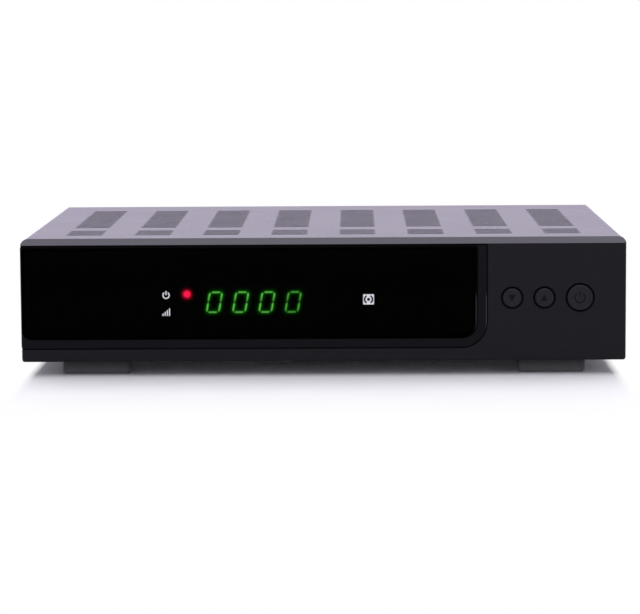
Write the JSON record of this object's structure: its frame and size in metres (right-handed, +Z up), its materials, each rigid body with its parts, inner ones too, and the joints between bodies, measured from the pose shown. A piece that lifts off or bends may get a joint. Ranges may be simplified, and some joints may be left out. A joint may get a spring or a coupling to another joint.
{
  "type": "cable television receiver",
  "caption": "Flat black cable television receiver with a vented steel case, a gloss display window showing green digits, round push buttons and rear aerial, video and mains sockets.",
  "frame": {"origin": "on the floor under the middle of the object's bounding box", "axes": "+X to the right seen from the front, +Y to the back, +Z up"},
  "size_m": [0.2216, 0.1648, 0.0504],
  "materials": {
    "panel_plastic": "fine moulded texture",
    "bezel_plastic": "satin",
    "window_acrylic": "polished smoked acrylic",
    "cover_paint": "satin powder coat",
    "tray_steel": "zinc plated sheet",
    "black_screw": "black oxide",
    "foot_rubber": "matte",
    "button_plastic": "satin",
    "switch_plastic": "matte",
    "circuit_board": "solder mask",
    "supply_board": "phenolic board",
    "zinc_steel": "zinc plated",
    "segment_lit": "glowing",
    "segment_dark": "unlit diffuser",
    "lamp_red": "glowing resin",
    "lamp_dark": "unlit resin",
    "sensor_resin": "dark resin",
    "chip_resin": "moulded resin",
    "socket_plastic": "moulded",
    "ribbon_jacket": "ribbed jacket",
    "wire_jacket": "insulated wire",
    "sink_aluminium": "extruded",
    "capacitor_sleeve": "shrunk sleeve",
    "tinned_steel": "tinned sheet",
    "nickel": "nickel plated",
    "brass_contact": "plated",
    "white_insulator": "moulded",
    "black_insulator": "moulded",
    "fuse_glass": "glass tube with caps",
    "winding": "taped winding"
  },
  "bodies": {
    "case": {"front_panel": "panel_plastic", "display_bezel": "bezel_plastic", "display_window": "window_acrylic", "top_cover": "cover_paint", "bottom_tray": "tray_steel", "cover_screws": "black_screw", "foot_front_left": "foot_rubber", "foot_front_right": "foot_rubber", "foot_rear_left": "foot_rubber", "foot_rear_right": "foot_rubber", "channel_down_switch": "switch_plastic", "channel_up_switch": "switch_plastic", "power_switch": "switch_plastic", "front_board": "circuit_board", "front_board_screws": "zinc_steel", "digit_display": "switch_plastic", "lit_segments": "segment_lit", "unlit_segments": "segment_dark", "power_led": "lamp_red", "signal_led": "lamp_dark", "ir_receiver": "sensor_resin", "display_driver": "chip_resin", "ribbon_sockets": "socket_plastic", "ribbon_cable": "ribbon_jacket", "main_board": "circuit_board", "board_standoffs": "zinc_steel", "board_screws": "zinc_steel", "main_chip": "chip_resin", "heat_sink": "sink_aluminium", "memory_chips": "chip_resin", "board_capacitors": "capacitor_sleeve", "tuner_can": "tinned_steel", "rf_input_socket": "nickel", "rf_output_socket": "nickel", "rf_insulators": "white_insulator", "rf_contacts": "brass_contact", "hdmi_shell": "nickel", "hdmi_insert": "black_insulator", "usb_shell": "nickel", "usb_insert": "black_insulator", "scart_socket": "black_insulator", "spdif_housing": "black_insulator", "spdif_ring": "nickel", "power_board": "supply_board", "mains_inlet": "black_insulator", "mains_pins": "brass_contact", "fuse": "fuse_glass", "line_choke": "winding", "bulk_capacitor": "capacitor_sleeve", "transformer": "winding", "output_capacitors": "capacitor_sleeve", "power_sockets": "socket_plastic", "power_harness": "wire_jacket"},
    "channel_down_key": {"channel_down_button": "button_plastic"},
    "channel_up_key": {"channel_up_button": "button_plastic"},
    "power_key": {"power_button": "button_plastic"},
    "channel_down_actuator": {"channel_down_plunger": "switch_plastic"},
    "channel_up_actuator": {"channel_up_plunger": "switch_plastic"},
    "power_actuator": {"power_plunger": "switch_plastic"}
  },
  "joints": [
    {"name": "channel_down_press", "type": "slide", "parent": "case", "child": "channel_down_key", "axis": [0, 1, 0], "range_m": [0, 0.00035], "stiffness_N_per_m": 1000},
    {"name": "channel_up_press", "type": "slide", "parent": "case", "child": "channel_up_key", "axis": [0, 1, 0], "range_m": [0, 0.00035], "stiffness_N_per_m": 1000},
    {"name": "power_press", "type": "slide", "parent": "case", "child": "power_key", "axis": [0, 1, 0], "range_m": [0, 0.00035], "stiffness_N_per_m": 1000},
    {"name": "channel_down_plunge", "type": "slide", "parent": "case", "child": "channel_down_actuator", "axis": [0, 1, 0], "range_m": [0, 0.00035]},
    {"name": "channel_up_plunge", "type": "slide", "parent": "case", "child": "channel_up_actuator", "axis": [0, 1, 0], "range_m": [0, 0.00035]},
    {"name": "power_plunge", "type": "slide", "parent": "case", "child": "power_actuator", "axis": [0, 1, 0], "range_m": [0, 0.00035]}
  ],
  "couplings": [
    {"joint": "channel_down_plunge", "follows": "channel_down_press", "ratio": 1},
    {"joint": "channel_up_plunge", "follows": "channel_up_press", "ratio": 1},
    {"joint": "power_plunge", "follows": "power_press", "ratio": 1}
  ]
}
